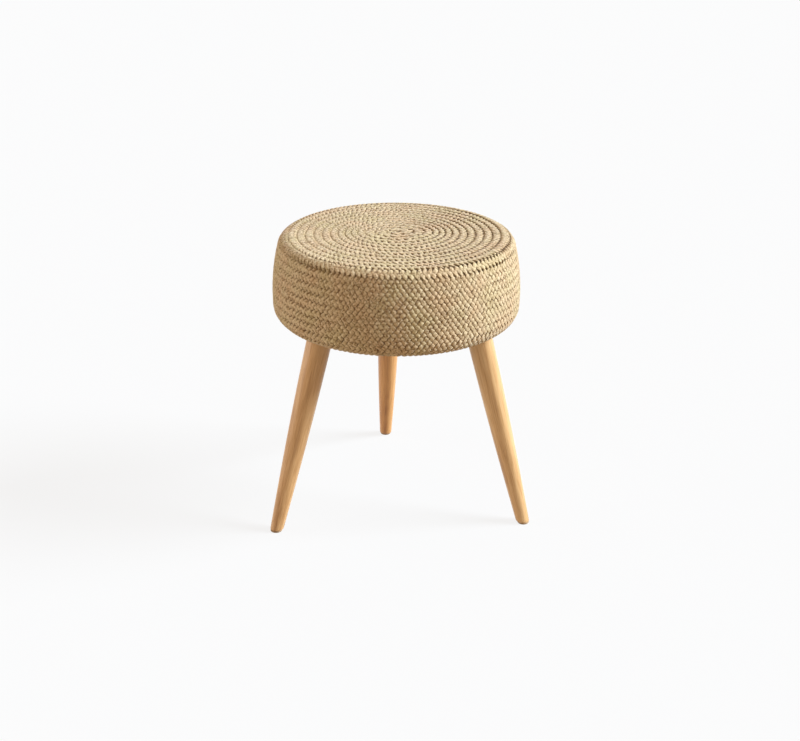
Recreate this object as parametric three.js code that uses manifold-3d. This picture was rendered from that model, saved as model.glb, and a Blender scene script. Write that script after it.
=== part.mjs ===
// A round padded stool on three splayed legs, in millimetres, +Z up.
// The seat is a foam drum on a plywood board, dressed in a cover made of one long flat braid:
// it coils out from the middle of the top, turns over the rim and winds down the side.
// Each turned leg screws onto an angled steel plate under the board and stands on a felt-faced glide.
// The origin is on the floor, at the middle of the box that the stool fills.

import * as THREE from "three";
import { mergeVertices } from "three/addons/utils/BufferGeometryUtils.js";
import Module from "manifold-3d";

const wasm = await Module();
wasm.setup();

// Seat: the outer face of the braided cover
const seatRadius = 193;
const seatRimHeight = 450;
const seatDepth = 134;
const crownRise = 3;
const topCornerRadius = 20;
const bottomCornerRadius = 26;
const wallBulgeRadius = 315;
const widestAboveSeatFloor = 42;

// Flat braid of the cover
const braidThickness = 9;
const braidPitchOnTop = 13;
const braidPitchOnSide = 12;
const braidGap = 0.5;
const braidStepsPerLoop = 24;
const braidStartStep = 14;
const braidStartShare = 0.62;
const braidFlatShare = 0.55;

// Cloth lining and the padding inside it
const liningThickness = 1.5;
const liningLap = 5;
const boardThickness = 15;
const firmFoamThickness = 50;
const outlineStepsPerBend = 5;
const outlineStepsOnCrown = 6;
const outlineStepsOnWall = 3;

// Clearance between pieces that touch
const seatGap = 0.3;

// Cloth that closes the underside
const dustClothThickness = 0.8;

// Legs
const legCount = 3;
const legTopRadius = 19.7;
const legFootRadius = 10.3;
const legSwell = 1.5;
const legInset = 56.5;
const legSpread = 90.5;
const legSides = 28;
const legRings = 8;
const legPilotDepth = 28;

// Glides under the legs
const glideThickness = 3;
const glideInset = 1.2;
const glideNailRadius = 1.3;
const glideNailLength = 14;
const glideNailSides = 8;

// Angled mounting plates
const plateWidth = 44;
const plateThickness = 2.5;
const plateCornerRadius = 5;
const plateBossRadius = 17;
const plateBossLip = 1;
const plateScrewReach = 16.5;

// Hanger bolts that join the legs to the plates
const boltRadius = 4;
const boltAboveLeg = 20;
const boltInLeg = 26;
const boltSides = 12;

// Wood screws of the plates
const screwShankRadius = 1.9;
const screwShankLength = 14;
const screwHeadRadius = 3.3;
const screwHeadHeight = 2;
const screwSlotWidth = 0.9;
const screwSlotDepth = 1.1;
const screwSides = 10;

// Staples of the dust cloth
const staplesPerBay = 4;
const stapleCrown = 10;
const stapleWire = 1.1;
const stapleLegLength = 8;
const stapleEdgeInset = 6;
const stapleBayShare = 0.5;

// How far a cutting tool runs past what it cuts
const overrun = 5;

const braidHalf = braidThickness / 2;
const seatFloor = seatRimHeight - seatDepth;
const fullTurn = 2 * Math.PI;
const quarterTurn = Math.PI / 2;

// Solid modelling helpers

// The closed mesh of a geometry as a solid, with the triangles that collapse on an axis left out.
function solidOf(geometry) {
  const bare = geometry.clone();
  bare.deleteAttribute("normal");
  bare.deleteAttribute("uv");
  const merged = mergeVertices(bare);
  const corners = [];
  for (let i = 0; i < merged.index.count; i += 3) {
    const [a, b, c] = [0, 1, 2].map((k) => merged.index.getX(i + k));
    if (a !== b && b !== c && c !== a) corners.push(a, b, c);
  }
  return new wasm.Manifold(
    new wasm.Mesh({
      numProp: 3,
      vertProperties: merged.attributes.position.array,
      triVerts: Uint32Array.from(corners),
    }),
  );
}

function geometryOf(solid) {
  const mesh = solid.getMesh();
  const geometry = new THREE.BufferGeometry();
  geometry.setAttribute("position", new THREE.BufferAttribute(mesh.vertProperties, 3));
  geometry.setIndex(new THREE.BufferAttribute(mesh.triVerts, 1));
  geometry.computeVertexNormals();
  return geometry;
}

// A solid turned about Z from [radius, height] points that run from the lower end to the upper one.
function turned(points, sides) {
  const profile = points.map(([radius, height]) => new THREE.Vector2(radius, height));
  return new THREE.LatheGeometry(profile, sides).rotateX(quarterTurn);
}

function cylinder(radius, low, high, sides) {
  return turned([[0, low], [radius, low], [radius, high], [0, high]], sides);
}

function block(sizeX, sizeY, sizeZ, x, y, z) {
  return new THREE.BoxGeometry(sizeX, sizeY, sizeZ).translate(x, y, z);
}

// Seat outline: the middle of the braid's thickness, from the axis over the rim to the underside

const topBend = topCornerRadius - braidHalf;
const wallBend = wallBulgeRadius - braidHalf;
const bottomBend = bottomCornerRadius - braidHalf;
const topBendHeight = seatRimHeight - topCornerRadius;
const wallBendHeight = seatFloor + widestAboveSeatFloor;
const bottomBendHeight = seatFloor + bottomCornerRadius;

// The wall bulges as one wide arc. Both corners run into it without a kink, at these tilts.
const topFall = wallBulgeRadius - topCornerRadius;
const bottomFall = wallBulgeRadius - bottomCornerRadius;
const topTilt = Math.acos((topBendHeight - wallBendHeight) / topFall);
const bottomTilt = Math.acos((bottomBendHeight - wallBendHeight) / bottomFall);
const wallBendReach = seatRadius - wallBulgeRadius;
const crownReach = wallBendReach + topFall * Math.sin(topTilt);
const undersideReach = wallBendReach + bottomFall * Math.sin(bottomTilt);

// Distances along the outline at which one stretch ends and the next begins.
const crownEnd = crownReach;
const topBendEnd = crownEnd + topBend * topTilt;
const wallEnd = topBendEnd + wallBend * (bottomTilt - topTilt);
const bottomBendEnd = wallEnd + bottomBend * (Math.PI - bottomTilt);

// Past the crown the outline is three arcs: where each starts, its first tilt, its radius and centre.
const outlineArcs = [
  { start: crownEnd, tilt: 0, bend: topBend, reach: crownReach, level: topBendHeight },
  { start: topBendEnd, tilt: topTilt, bend: wallBend, reach: wallBendReach, level: wallBendHeight },
  {
    start: wallEnd,
    tilt: bottomTilt,
    bend: bottomBend,
    reach: undersideReach,
    level: bottomBendHeight,
  },
];

// The point and the outward normal at a distance along the outline, moved inwards by an inset.
function outlineAt(distance, inset = 0) {
  let radius;
  let height;
  let tilt;
  if (distance < crownEnd) {
    const share = distance / crownReach;
    const slope = (crownRise / crownReach) * quarterTurn * Math.sin(Math.PI * share);
    radius = distance;
    height = seatRimHeight - braidHalf + (crownRise / 2) * (1 + Math.cos(Math.PI * share));
    tilt = Math.atan(slope);
  } else {
    const arc = outlineArcs.findLast(({ start }) => distance >= start);
    const inwards = Math.max(0, distance - bottomBendEnd);
    tilt = Math.min(Math.PI, arc.tilt + (distance - arc.start) / arc.bend);
    radius = arc.reach + arc.bend * Math.sin(tilt) - inwards;
    height = arc.level + arc.bend * Math.cos(tilt);
  }
  const normal = [Math.sin(tilt), Math.cos(tilt)];
  return {
    radius: Math.max(0, radius - inset * normal[0]),
    height: height - inset * normal[1],
    normal,
  };
}

// [radius, height] points of the outline at an inset, from the axis to past the bottom bend.
function outlinePoints(inset, lap) {
  const distances = [];
  const spread = (from, to, steps) => {
    for (let i = 0; i < steps; i++) distances.push(from + ((to - from) * i) / steps);
  };
  spread(0, crownEnd, outlineStepsOnCrown);
  spread(crownEnd, topBendEnd, outlineStepsPerBend);
  spread(topBendEnd, wallEnd, outlineStepsOnWall);
  spread(wallEnd, bottomBendEnd, outlineStepsPerBend);
  distances.push(bottomBendEnd);
  if (lap > 0) distances.push(bottomBendEnd + lap);
  return distances.map((distance) => {
    const { radius, height } = outlineAt(distance, inset);
    return [radius, height];
  });
}

// Braided cover: one unbroken flat braid, wound at the pitch that each region has

// The pitch changes from the top's to the side's as the braid turns over the rim.
function pitchAt(distance) {
  const share = THREE.MathUtils.clamp((distance - crownEnd) / (topBendEnd - crownEnd), 0, 1);
  return braidPitchOnTop + (braidPitchOnSide - braidPitchOnTop) * share;
}

// The last course ends with its edge where the underside begins.
const coverEnd = bottomBendEnd - braidPitchOnSide / 2;

// The rings of the braid: each holds six corners in the half-plane of its own angle. The start step
// turns the whole coil, which sets where the seam between two courses runs over the rim.
function braidRings() {
  const rings = [];
  let distance = braidPitchOnTop * braidStartShare;
  for (let step = 0; distance <= coverEnd; step++) {
    const angle = ((step + braidStartStep) / braidStepsPerLoop) * fullTurn;
    const { radius, height, normal } = outlineAt(distance);
    const halfWidth = (pitchAt(distance) - braidGap) / 2;
    const flat = halfWidth * braidFlatShare;
    const section = [
      [-halfWidth, 0],
      [-flat, -braidHalf],
      [flat, -braidHalf],
      [halfWidth, 0],
      [flat, braidHalf],
      [-flat, braidHalf],
    ];
    rings.push(
      section.map(([along, out]) => {
        const r = radius + along * normal[1] + out * normal[0];
        const z = height - along * normal[0] + out * normal[1];
        return new THREE.Vector3(r * Math.cos(angle), r * Math.sin(angle), z);
      }),
    );
    distance += pitchAt(distance) / braidStepsPerLoop;
  }
  return rings;
}

// The least distance from any corner of a ring to the corners of the ring one loop on.
function leastGap(rings) {
  let least = Infinity;
  for (let i = 0; i + braidStepsPerLoop < rings.length; i++) {
    for (const a of rings[i]) {
      for (const b of rings[i + braidStepsPerLoop]) least = Math.min(least, a.distanceTo(b));
    }
  }
  return least;
}

function tubeThrough(rings) {
  const sides = rings[0].length;
  const last = rings.length - 1;
  const corners = [];
  for (let i = 0; i < last; i++) {
    for (let k = 0; k < sides; k++) {
      const next = (k + 1) % sides;
      const [a, b, c, d] = [rings[i][k], rings[i][next], rings[i + 1][next], rings[i + 1][k]];
      corners.push(a, c, b, a, d, c);
    }
  }
  for (let k = 1; k + 1 < sides; k++) {
    corners.push(rings[0][0], rings[0][k], rings[0][k + 1]);
    corners.push(rings[last][0], rings[last][k + 1], rings[last][k]);
  }
  return new THREE.BufferGeometry().setFromPoints(corners);
}

const coverRings = braidRings();
const coverLoops = (coverRings.length - 1) / braidStepsPerLoop;
console.log(
  `cover: ${coverLoops.toFixed(1)} loops, least gap to itself ${leastGap(coverRings).toFixed(2)} mm`,
);

// Lining and padding: they follow the same outline, further in

const liningInset = braidHalf + seatGap;
const coreInset = liningInset + liningThickness + seatGap;
const boardFloor = outlineAt(bottomBendEnd, coreInset).height;
const boardTop = boardFloor + boardThickness;
const firmFoamFloor = boardTop + seatGap;
const firmFoamTop = firmFoamFloor + firmFoamThickness;
const softFoamFloor = firmFoamTop + seatGap;

function liningGeometry() {
  const outer = outlinePoints(liningInset, liningLap);
  const inner = outlinePoints(liningInset + liningThickness, liningLap);
  return turned([...inner, ...outer.reverse()], braidStepsPerLoop);
}

// The part of the padded core between two heights, as a solid turned about the axis.
function coreSlice(low, high) {
  const edge = outlinePoints(coreInset, 0).reverse();
  const radiusAt = (height) => {
    const i = edge.findIndex(([, h]) => h >= height);
    if (i < 1) return edge[0][0];
    const [[r0, h0], [r1, h1]] = [edge[i - 1], edge[i]];
    return r0 + ((r1 - r0) * (height - h0)) / (h1 - h0);
  };
  const points = [[0, low], [radiusAt(low), low]];
  points.push(...edge.filter(([, height]) => height > low && height < high));
  const crownTop = edge.at(-1);
  if (high < crownTop[1]) points.push([radiusAt(high), high], [0, high]);
  return turned(points, braidStepsPerLoop);
}

// Legs: everything at one leg is made with the leg in the plane of +X, then turned to its place

const legTopCircleRadius = seatRadius - legInset;
const footCircleRadius = legTopCircleRadius + legSpread;

const dustClothFloor = boardFloor - seatGap - dustClothThickness;
const plateTop = dustClothFloor - seatGap;
const plateFloor = plateTop - plateThickness;
const splay = Math.atan(legSpread / plateFloor);
const legTopDrop = legTopRadius * Math.sin(splay) + seatGap + plateBossLip;
const legLength = (plateFloor - legTopDrop) / Math.cos(splay);
const legFloor = glideThickness + seatGap;

// Moves a piece made along +Z, with its zero at the foot, onto the leg's slanted axis.
function alongLeg(geometry) {
  return geometry.rotateY(-splay).translate(footCircleRadius, 0, 0);
}

function legRadiusAt(share) {
  const swell = legSwell * Math.sin(Math.PI * share);
  return legFootRadius + (legTopRadius - legFootRadius) * share + swell;
}

const boltHoleRadius = boltRadius + seatGap;
const nailHoleRadius = glideNailRadius + seatGap;

function legSolid() {
  const points = [[0, -overrun], [legRadiusAt(0), -overrun]];
  for (let i = 0; i <= legRings; i++) {
    points.push([legRadiusAt(i / legRings), (legLength * i) / legRings]);
  }
  points.push([0, legLength]);
  const blank = solidOf(alongLeg(turned(points, legSides)));
  const belowFloor = solidOf(
    block(footCircleRadius, footCircleRadius, 2 * legFloor + 2 * overrun, footCircleRadius, 0, -overrun),
  );
  const boltHole = solidOf(
    alongLeg(cylinder(boltHoleRadius, legLength - legPilotDepth, legLength + overrun, boltSides)),
  );
  const nailHole = solidOf(
    cylinder(nailHoleRadius, -overrun, glideNailLength + seatGap, glideNailSides)
      .translate(footCircleRadius, 0, 0),
  );
  return blank.subtract(belowFloor).subtract(boltHole).subtract(nailHole);
}

function glideSolid() {
  const padRadius = legFootRadius - glideInset;
  const pad = solidOf(cylinder(padRadius, 0, glideThickness, legSides));
  const nail = solidOf(
    cylinder(glideNailRadius, glideThickness / 2, glideNailLength, glideNailSides),
  );
  return pad.add(nail).translate([footCircleRadius, 0, 0]);
}

// The plate's middle is where the leg's axis meets its lower face.
const screwPlaces = [[1, 1], [-1, 1], [-1, -1], [1, -1]].map(([x, y]) => [
  legTopCircleRadius + x * plateScrewReach,
  y * plateScrewReach,
]);

function plateSolid() {
  const half = plateWidth / 2;
  const inner = half - plateCornerRadius;
  const outline = new THREE.Shape();
  outline.moveTo(half, -inner);
  outline.absarc(inner, inner, plateCornerRadius, 0, quarterTurn);
  outline.absarc(-inner, inner, plateCornerRadius, quarterTurn, 2 * quarterTurn);
  outline.absarc(-inner, -inner, plateCornerRadius, 2 * quarterTurn, 3 * quarterTurn);
  outline.absarc(inner, -inner, plateCornerRadius, 3 * quarterTurn, 4 * quarterTurn);
  const sheet = solidOf(
    new THREE.ExtrudeGeometry(outline, {
      depth: plateThickness,
      bevelEnabled: false,
      curveSegments: 3,
    }).translate(legTopCircleRadius, 0, plateFloor),
  );
  const bossLow = legLength + seatGap;
  const bossHigh = bossLow + 2 * legTopDrop;
  const bossBlank = solidOf(alongLeg(cylinder(plateBossRadius, bossLow, bossHigh, legSides)));
  const aboveSheet = solidOf(
    block(2 * plateWidth, 2 * plateWidth, plateWidth, legTopCircleRadius, 0, plateTop + half),
  );
  const bore = solidOf(
    alongLeg(cylinder(boltHoleRadius, legLength - overrun, legLength + boltAboveLeg, boltSides)),
  );
  let plate = sheet.add(bossBlank).subtract(aboveSheet).subtract(bore);
  for (const [x, y] of screwPlaces) {
    plate = plate.subtract(
      solidOf(
        cylinder(
          screwShankRadius + seatGap,
          plateFloor - overrun,
          plateTop + overrun,
          screwSides,
        ).translate(x, y, 0),
      ),
    );
  }
  return plate;
}

function boltSolid() {
  return solidOf(
    alongLeg(cylinder(boltRadius, legLength - boltInLeg, legLength + boltAboveLeg, boltSides)),
  );
}

// A pan-head wood screw pointing up, with its head under the plate's lower face.
function screwSolid([x, y]) {
  const headTop = plateFloor - seatGap;
  const headLow = headTop - screwHeadHeight;
  const points = [
    [0, headLow],
    [screwHeadRadius / 2, headLow],
    [screwHeadRadius, headLow + screwHeadHeight / 2],
    [screwHeadRadius, headTop],
    [screwShankRadius, headTop],
    [screwShankRadius, headTop + screwShankLength - screwShankRadius],
    [0, headTop + screwShankLength],
  ];
  const blank = solidOf(turned(points, screwSides));
  const slotHeight = 2 * screwSlotDepth;
  const slots = [
    block(screwHeadRadius, screwSlotWidth, slotHeight, 0, 0, headLow),
    block(screwSlotWidth, screwHeadRadius, slotHeight, 0, 0, headLow),
  ].map(solidOf);
  return blank.subtract(slots[0].add(slots[1])).translate([x, y, 0]);
}

// Holes through the board and the cloth under it

// Staple places as [radius, angle], spread over each bay between two legs.
const stapleRadius = undersideReach - liningLap - stapleEdgeInset;
const staplePlaces = [];
for (let bay = 0; bay < legCount; bay++) {
  for (let i = 0; i < staplesPerBay; i++) {
    const share = ((i + 0.5) / staplesPerBay - 0.5) * stapleBayShare;
    staplePlaces.push([stapleRadius, ((bay + 0.5 + share) / legCount) * fullTurn]);
  }
}

function stapleSolid(grow = 0) {
  const wire = stapleWire + 2 * grow;
  const crownHeight = dustClothFloor - seatGap - stapleWire / 2;
  const legHeight = crownHeight + stapleLegLength / 2;
  const legPlace = (stapleCrown - stapleWire) / 2;
  const crown = block(wire, stapleCrown + 2 * grow, wire, 0, 0, crownHeight);
  const legs = [-1, 1].map((side) =>
    block(wire, wire, stapleLegLength + 2 * grow, 0, side * legPlace, legHeight),
  );
  return solidOf(crown).add(solidOf(legs[0])).add(solidOf(legs[1]));
}

function placeStaple(solid, [radius, angle]) {
  return solid.translate([radius, 0, 0]).rotate([0, 0, THREE.MathUtils.radToDeg(angle)]);
}

// Takes the bolt holes, screw pilots and staple holes of every leg and bay out of a flat piece.
function drilled(solid) {
  const boltHole = solidOf(
    alongLeg(cylinder(boltHoleRadius, legLength - overrun, legLength + 2 * boltAboveLeg, boltSides)),
  );
  const pilots = screwPlaces.map(([x, y]) =>
    solidOf(
      cylinder(
        screwShankRadius + seatGap,
        plateFloor,
        plateFloor + screwShankLength + seatGap,
        screwSides,
      ).translate(x, y, 0),
    ),
  );
  const atLeg = pilots.reduce((sum, pilot) => sum.add(pilot), boltHole);
  let result = solid;
  for (let leg = 0; leg < legCount; leg++) {
    result = result.subtract(atLeg.rotate([0, 0, (leg * 360) / legCount]));
  }
  for (const place of staplePlaces) {
    result = result.subtract(placeStaple(stapleSolid(seatGap), place));
  }
  return result;
}

// Materials

function material(color, roughness, metalness = 0) {
  return new THREE.MeshStandardMaterial({ color, roughness, metalness });
}

const jute = material(0xc9ad7f, 0.9);
const cloth = material(0xe4dac6, 0.95);
const foam = material(0xe8dfae, 0.95);
const plywood = material(0xc79f6c, 0.7);
const blackCloth = material(0x222222, 0.95);
const legWood = material(0xd6a46c, 0.5);
const felt = material(0x6b5a48, 1);
const steel = material(0x9a9da1, 0.4, 0.9);
const zinc = material(0xb9b5a6, 0.35, 0.9);

// Assembly

const stool = new THREE.Group();

function addPiece(parent, name, geometry, look) {
  const mesh = new THREE.Mesh(geometry, look);
  mesh.name = name;
  parent.add(mesh);
  return mesh;
}

addPiece(stool, "braided_cover", tubeThrough(coverRings), jute);
addPiece(stool, "cover_lining", liningGeometry(), cloth);
addPiece(stool, "soft_foam_pad", coreSlice(softFoamFloor, Infinity), foam);
addPiece(stool, "firm_foam_block", coreSlice(firmFoamFloor, firmFoamTop), foam);
addPiece(
  stool,
  "plywood_base",
  geometryOf(drilled(solidOf(coreSlice(boardFloor, boardTop)))),
  plywood,
);

const dustClothRadius = undersideReach - liningLap - seatGap;
const dustClothCeiling = dustClothFloor + dustClothThickness;
const dustCloth = cylinder(dustClothRadius, dustClothFloor, dustClothCeiling, braidStepsPerLoop);
addPiece(stool, "dust_cloth", geometryOf(drilled(solidOf(dustCloth))), blackCloth);

staplePlaces.forEach((place, i) => {
  const staple = addPiece(stool, `staple_${i + 1}`, geometryOf(stapleSolid()), steel);
  staple.geometry.translate(place[0], 0, 0);
  staple.rotation.z = place[1];
});

for (let leg = 0; leg < legCount; leg++) {
  const station = new THREE.Group();
  station.rotation.z = (leg / legCount) * fullTurn;
  stool.add(station);
  const number = leg + 1;
  addPiece(station, `leg_${number}`, geometryOf(legSolid()), legWood);
  addPiece(station, `foot_glide_${number}`, geometryOf(glideSolid()), felt);
  addPiece(station, `mounting_plate_${number}`, geometryOf(plateSolid()), steel);
  addPiece(station, `hanger_bolt_${number}`, geometryOf(boltSolid()), zinc);
  screwPlaces.forEach((place, i) => {
    addPiece(station, `plate_${number}_screw_${i + 1}`, geometryOf(screwSolid(place)), zinc);
  });
}

// The first leg points to the back, along +Y, and the box that the stool fills is centred.
const footReach = footCircleRadius + legRadiusAt(0) / Math.cos(splay);
stool.rotation.z = quarterTurn;
stool.position.y = (seatRadius - footReach) / 2;

const part = new THREE.Group();
part.add(stool);

export default part;
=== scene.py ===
# %% [markdown]
# # A braided stool
# This notebook dresses a finished frame: the stool's solids come in at their real place and size,
# and every cell adds one piece or one finish around them. Everything is in metres, with +Z up.

# %% Load the frame
import math

import bpy
import numpy as np
from mathutils import Matrix, Vector


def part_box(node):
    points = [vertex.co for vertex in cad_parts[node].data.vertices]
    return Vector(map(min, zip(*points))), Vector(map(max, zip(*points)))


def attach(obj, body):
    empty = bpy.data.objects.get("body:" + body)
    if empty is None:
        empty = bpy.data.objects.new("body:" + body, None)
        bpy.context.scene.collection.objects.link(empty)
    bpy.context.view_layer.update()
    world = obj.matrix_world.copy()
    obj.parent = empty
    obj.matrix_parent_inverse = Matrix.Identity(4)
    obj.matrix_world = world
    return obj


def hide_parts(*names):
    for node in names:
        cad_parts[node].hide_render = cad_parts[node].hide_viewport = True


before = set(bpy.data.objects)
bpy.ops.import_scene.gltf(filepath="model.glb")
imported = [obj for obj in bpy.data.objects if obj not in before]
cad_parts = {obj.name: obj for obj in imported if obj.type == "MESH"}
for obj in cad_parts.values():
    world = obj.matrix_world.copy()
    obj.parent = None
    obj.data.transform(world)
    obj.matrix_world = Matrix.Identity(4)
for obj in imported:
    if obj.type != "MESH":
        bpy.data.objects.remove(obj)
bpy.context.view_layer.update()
print("nodes in the frame:", len(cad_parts))

# %% [markdown]
# ## Sizes read from the frame
# A piece that is dressed has to sit exactly where its solid sits. So the seat's axis, its radius
# and its heights are measured on the solids instead of being typed again: if the stool is made
# larger, this file follows. The braided cover's solid gives the outer faces, the lining gives the
# axis.

# %% Measure the seat
MM = 0.001

cover_low, cover_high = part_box("braided_cover")
lining_low, lining_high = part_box("cover_lining")
seat_axis = (lining_low + lining_high) / 2
seat_axis.z = 0

BRAID_THICKNESS = 9 * MM
BRAID_HALF = BRAID_THICKNESS / 2
LINING_GAP = 0.3 * MM
LINING_THICKNESS = 1.5 * MM
CROWN_RISE = 3 * MM

seat_radius = (lining_high.x - lining_low.x) / 2 + LINING_GAP + BRAID_THICKNESS
seat_floor = cover_low.z
rim_height = cover_high.z - CROWN_RISE
print(f"seat radius {seat_radius:.4f}, from {seat_floor:.4f} to {rim_height:.4f} high at the rim")

# %% [markdown]
# ## The camera
# The picture is taken from in front of the stool and well above it. A camera is easiest to place
# by three plain facts: how far it stands from the stool's axis, how high it is, and how much it
# looks down. The stool is turned a little in the picture, so here the camera walks round it by
# the same angle instead, because the frame itself is never turned.

# %% Place the camera
CAMERA_DISTANCE = 2.000
CAMERA_HEIGHT = 1.0776
CAMERA_SIDE_STEP = 0.0066
CAMERA_TURN = math.radians(4.73)
CAMERA_LOOK_DOWN = math.radians(23.2)
CAMERA_ROLL = math.radians(0.43)
FOCAL_PIXELS = 1358.6
IMAGE_WIDTH_PIXELS = 800
SENSOR_WIDTH = 36

camera_data = bpy.data.cameras.new("camera")
camera_data.sensor_width = SENSOR_WIDTH
camera_data.lens = camera_data.sensor_width * FOCAL_PIXELS / IMAGE_WIDTH_PIXELS
camera = bpy.data.objects.new("camera", camera_data)
bpy.context.scene.collection.objects.link(camera)
walk_round = Matrix.Rotation(-CAMERA_TURN, 4, "Z")
stand = Matrix.Translation((CAMERA_SIDE_STEP, -CAMERA_DISTANCE, CAMERA_HEIGHT))
look_down = Matrix.Rotation(math.pi / 2 - CAMERA_LOOK_DOWN, 4, "X")
roll = Matrix.Rotation(CAMERA_ROLL, 4, "Z")
camera.matrix_world = Matrix.Translation(seat_axis) @ walk_round @ stand @ look_down @ roll
bpy.context.scene.camera = camera
print("camera at", [round(x, 3) for x in camera.matrix_world.translation])

# %% [markdown]
# ## Light
# A product picture has one soft key light and a bright room around it. The key comes from the
# right and from above, so the right of the drum and of each leg is bright and their front is in
# soft shade. A sun lamp with a wide angle gives such a light without a hot spot, and its strength
# is easy to reason about: light adds up to about 1 on a level face, so that a colour renders
# about as it is written. A faint second sun, low on the other side, keeps the far flank from
# going dull.

# %% Lamps
KEY_STRENGTH = 5.9
KEY_COLOR = (0.80, 0.885, 0.965)
KEY_SOFTNESS = math.radians(28)
KEY_ELEVATION = math.radians(31)
KEY_AZIMUTH = math.radians(-5)
RIM_STRENGTH = 1.7
RIM_COLOR = (1.0, 0.93, 0.88)
RIM_SOFTNESS = math.radians(45)
RIM_ELEVATION = math.radians(8)
RIM_AZIMUTH = math.radians(176)


def add_sun(name, strength, color, softness, azimuth, elevation):
    """A sun whose light comes from that azimuth, counted from +X towards +Y, and elevation."""
    lamp = bpy.data.lights.new(name, "SUN")
    lamp.energy = strength
    lamp.color = color
    lamp.angle = softness
    sun = bpy.data.objects.new(name, lamp)
    level = math.cos(elevation)
    towards = Vector((level * math.cos(azimuth), level * math.sin(azimuth), math.sin(elevation)))
    sun.rotation_euler = towards.to_track_quat("Z", "Y").to_euler()
    bpy.context.scene.collection.objects.link(sun)


add_sun("key_light", KEY_STRENGTH, KEY_COLOR, KEY_SOFTNESS, KEY_AZIMUTH, KEY_ELEVATION)
add_sun("rim_light", RIM_STRENGTH, RIM_COLOR, RIM_SOFTNESS, RIM_AZIMUTH, RIM_ELEVATION)
print("lamps:", [item.name for item in bpy.data.lights])

# %% [markdown]
# ## Building with nodes
# The world and every material are small graphs of nodes. Adding a node, setting its sockets and
# linking it takes many lines in plain Blender Python, so a helper does all three: a value is
# written on the socket, and another node's output is linked to it.

# %% Node helpers
def new_nodes(tree):
    """Empties a node tree and returns a function that adds a node and sets its inputs."""
    tree.nodes.clear()

    def add(kind, settings=None, **inputs):
        node = tree.nodes.new(kind)
        for key, value in (settings or {}).items():
            setattr(node, key, value)
        for key, value in inputs.items():
            socket = node.inputs[int(key[2:]) if key.startswith("in") else key.replace("_", " ")]
            if isinstance(value, bpy.types.NodeSocket):
                tree.links.new(value, socket)
            else:
                socket.default_value = value
        return node

    return add


def calculate(add, operation, first, second):
    """One sum of two values, by the name of its operation."""
    return add("ShaderNodeMath", {"operation": operation}, in0=first, in1=second).outputs[0]


# %% [markdown]
# ## The room
# The room lights the stool dimly and warmly, but it has to look white behind it. The Light Path
# node tells what kind of ray is asking, so that one shader gives two answers: the camera,
# reflections and glass see white, and everything else gets the dim light.

# %% The room's world
ROOM_LIGHT = 0.29
ROOM_COLOR = (1.0, 0.73, 0.49)
ROOM_SEEN = 0.965
WHITE = (1, 1, 1, 1)

world = bpy.data.worlds.new("room")
bpy.context.scene.world = world
world.use_nodes = True
add = new_nodes(world.node_tree)
path = add("ShaderNodeLightPath").outputs
seen = calculate(add, "MAXIMUM", path["Is Camera Ray"], path["Is Glossy Ray"])
seen = calculate(add, "MAXIMUM", seen, path["Is Transmission Ray"])
lit = add("ShaderNodeBackground", Color=(*ROOM_COLOR, 1), Strength=ROOM_LIGHT)
shown = add("ShaderNodeBackground", Color=WHITE, Strength=ROOM_SEEN)
room = add("ShaderNodeMixShader", in0=seen, in1=lit.outputs[0], in2=shown.outputs[0])
add("ShaderNodeOutputWorld", Surface=room.outputs[0])

view_settings = bpy.context.scene.view_settings
view_settings.view_transform = "Standard"
print("the room is", view_settings.view_transform.lower(), "white to the camera")

# %% [markdown]
# ## Floor
# The floor is pale and takes the stool's shadow. To the camera most of it glows at the room's
# white, and the rest is matte, which is what keeps the shadow. Its light on the stool comes from
# a browner matte colour. The floor is clear from below, so that the underside can be looked at.

# %% Floor
FLOOR_HALF_SIZE = 14
FLOOR_COLOR = (0.44, 0.34, 0.23, 1)
FLOOR_SEEN_COLOR = (0.86, 0.87, 0.89, 1)
FLOOR_GLOW = 0.965
FLOOR_GLOW_SHARE = 0.88

floor_mesh = bpy.data.meshes.new("floor")
floor_corners = [(x * FLOOR_HALF_SIZE, y * FLOOR_HALF_SIZE, 0)
                 for x, y in ((-1, -1), (1, -1), (1, 1), (-1, 1))]
floor_mesh.from_pydata(floor_corners, [], [(0, 1, 2, 3)])
floor = bpy.data.objects.new("floor", floor_mesh)
bpy.context.scene.collection.objects.link(floor)

floor_paint = bpy.data.materials.new("pale_floor")
floor_paint.use_nodes = True
add = new_nodes(floor_paint.node_tree)
matte = add("ShaderNodeBsdfDiffuse", Color=FLOOR_COLOR)
seen_matte = add("ShaderNodeBsdfDiffuse", Color=FLOOR_SEEN_COLOR)
glow = add("ShaderNodeEmission", Color=WHITE, Strength=FLOOR_GLOW)
seen_floor = add("ShaderNodeMixShader", in0=FLOOR_GLOW_SHARE, in1=seen_matte.outputs[0],
                 in2=glow.outputs[0])
path = add("ShaderNodeLightPath").outputs
seen = calculate(add, "MAXIMUM", path["Is Camera Ray"], path["Is Glossy Ray"])
upper = add("ShaderNodeMixShader", in0=seen, in1=matte.outputs[0], in2=seen_floor.outputs[0])
clear = add("ShaderNodeBsdfTransparent")
side = add("ShaderNodeNewGeometry")
one_sided = add("ShaderNodeMixShader", in0=side.outputs["Backfacing"], in1=upper.outputs[0],
                in2=clear.outputs[0])
add("ShaderNodeOutputMaterial", Surface=one_sided.outputs[0])
floor_mesh.materials.append(floor_paint)
print("floor:", 2 * FLOOR_HALF_SIZE, "m wide")

# %% [markdown]
# ## Building meshes from arrays
# A braid this long has tens of thousands of rings, and making them one by one would be slow. So
# positions are worked out as whole arrays, and one helper turns a grid of points into a closed
# mesh: rows run along the piece, columns run round it, and the two ends are capped.

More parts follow.
